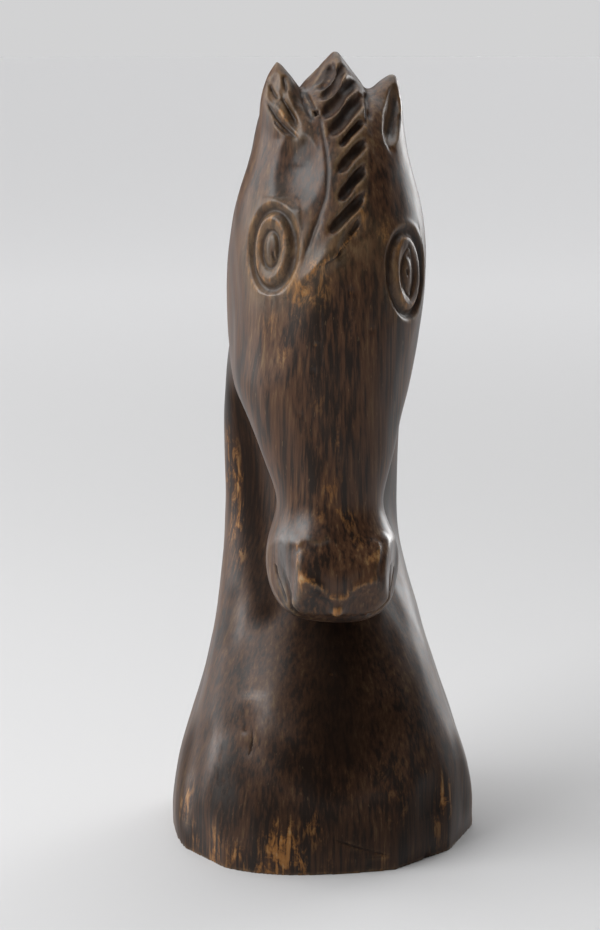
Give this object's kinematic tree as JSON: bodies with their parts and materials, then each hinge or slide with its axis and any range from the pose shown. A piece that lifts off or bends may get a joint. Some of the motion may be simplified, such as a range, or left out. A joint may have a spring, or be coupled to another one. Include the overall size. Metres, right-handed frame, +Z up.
{
  "type": "carved wooden horse head sculpture",
  "caption": "Horse's head and neck carved from one block of dark stained wood, with a grooved mane and ringed eyes, standing on its flared flat base.",
  "frame": {"origin": "middle of the bounding box of the flat underside", "axes": "+Z up along the neck, the longest extent; the face looks along -Y; -X is the horse's right side"},
  "size_m": [0.0976, 0.1052, 0.2498],
  "materials": {
    "stained_wood": "satin dark brown stain, worn to orange brown on edges"
  },
  "bodies": {
    "root": {"carved_horse_head": "stained_wood"}
  },
  "joints": []
}
